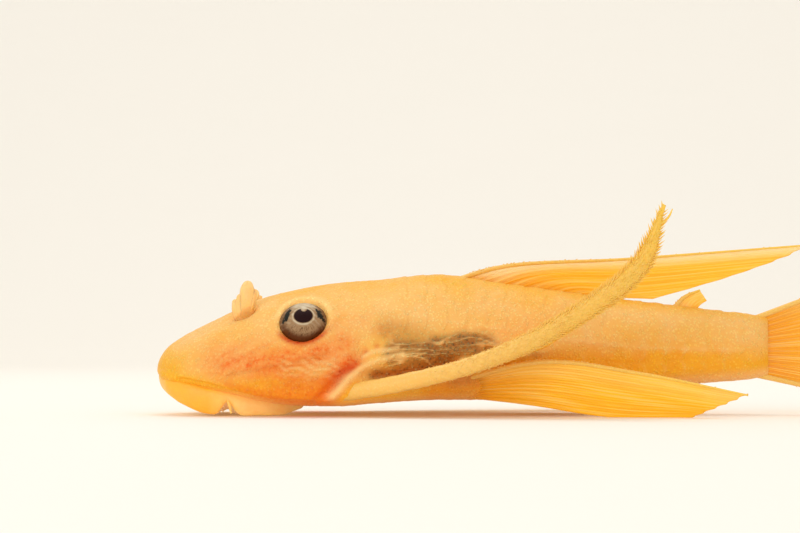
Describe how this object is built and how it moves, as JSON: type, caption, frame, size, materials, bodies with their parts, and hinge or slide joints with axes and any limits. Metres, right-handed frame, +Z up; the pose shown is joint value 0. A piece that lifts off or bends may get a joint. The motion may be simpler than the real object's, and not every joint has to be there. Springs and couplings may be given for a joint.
{
  "type": "bristlenose pleco",
  "caption": "Life-size still model of a golden long-finned bristlenose pleco resting on its sucker mouth and pelvic fins, armour scutes, folded dorsal fin and raised pectoral spine.",
  "frame": {"origin": "middle of the bounding box, on the tank bottom that the fish rests on", "axes": "-X towards the snout, -Y towards the fish's left side, +Z up"},
  "size_m": [0.09, 0.0316, 0.0202],
  "materials": {
    "skin": "moist armoured skin, peach yellow",
    "fins": "thin translucent yellow fin skin over paler rays",
    "lips": "soft pale fleshy skin",
    "eyes": "wet silver grey iris with a dark pupil"
  },
  "bodies": {
    "root": {"head": "skin", "torso": "skin", "tail_stem": "skin", "lips": "lips", "dorsal_fin": "fins", "adipose_fin": "fins", "tail_fin": "fins", "anal_fin": "fins", "eye_left": "eyes", "eye_right": "eyes", "nostril_flap_left": "lips", "nostril_flap_right": "lips", "pectoral_fin_left": "fins", "pectoral_fin_right": "fins", "pelvic_fin_left": "fins", "pelvic_fin_right": "fins"}
  },
  "joints": []
}
